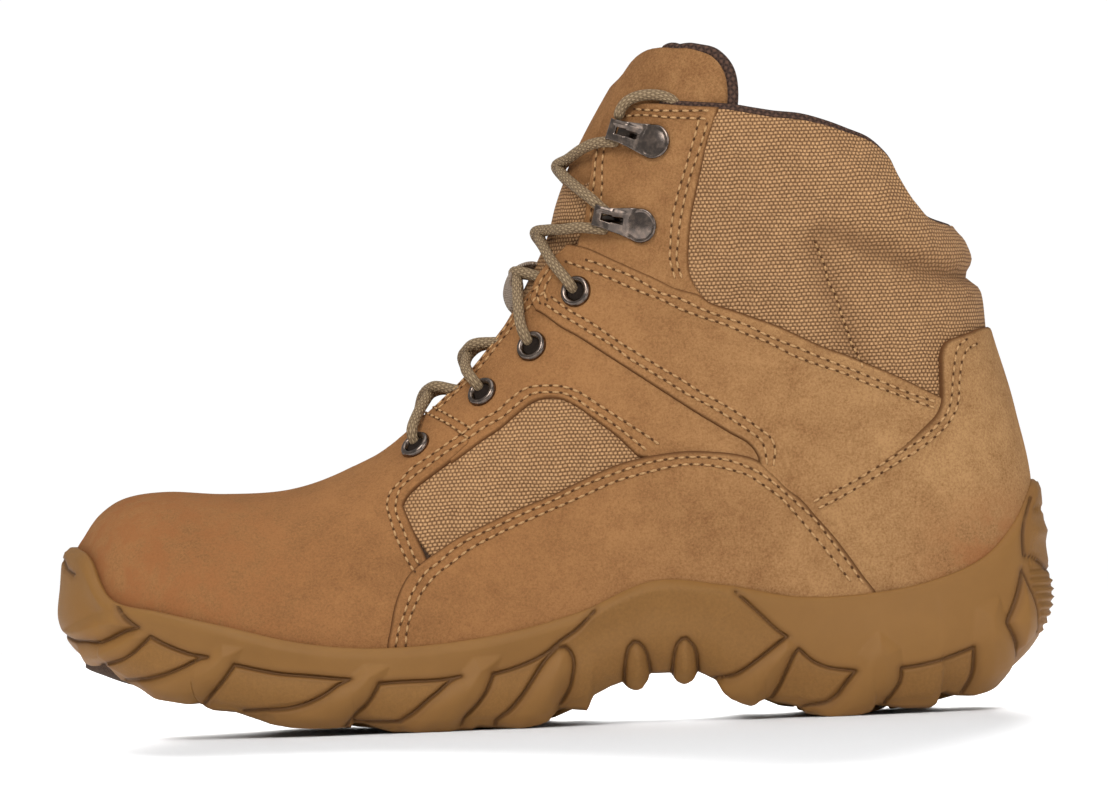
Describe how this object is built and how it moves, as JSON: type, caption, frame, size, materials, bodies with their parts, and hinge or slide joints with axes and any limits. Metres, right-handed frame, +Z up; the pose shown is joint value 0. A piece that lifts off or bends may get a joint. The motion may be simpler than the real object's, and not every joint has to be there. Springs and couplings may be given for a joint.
{
  "type": "combat boot",
  "caption": "Ankle-high lace-up combat boot for the left foot, in tan suede and woven textile, with a lugged rubber sole, padded collar, eyelets and speed hooks.",
  "frame": {"origin": "on the floor, under the centre of the boot's bounding box", "axes": "+X forward to the toe, +Y to the wearer's left, which is the outer side, +Z up"},
  "size_m": [0.305, 0.11, 0.2066],
  "materials": {
    "suede": "tan suede, napped and slightly reddened at toe and heel",
    "textile": "coarse tan ballistic weave, matte",
    "gum_rubber": "moulded tan rubber, satin, with darker grooves",
    "footbed": "dark brown textile over foam",
    "bronze_metal": "dark antique bronze plating, glossy",
    "lace": "round braided olive-tan cord"
  },
  "bodies": {
    "root": {"outsole": "gum_rubber", "insole": "footbed", "upper": "suede", "heel_counter": "suede", "tongue": "textile", "eyelet_outer_1": "bronze_metal", "eyelet_outer_2": "bronze_metal", "eyelet_outer_3": "bronze_metal", "eyelet_outer_4": "bronze_metal", "hook_outer_1": "bronze_metal", "hook_outer_2": "bronze_metal", "lace_end_outer": "lace", "eyelet_inner_1": "bronze_metal", "eyelet_inner_2": "bronze_metal", "eyelet_inner_3": "bronze_metal", "eyelet_inner_4": "bronze_metal", "hook_inner_1": "bronze_metal", "hook_inner_2": "bronze_metal", "lace_end_inner": "lace", "lace_crossing_1": "lace", "lace_crossing_2": "lace", "lace_crossing_3": "lace", "lace_crossing_4": "lace", "lace_crossing_5": "lace"}
  },
  "joints": []
}
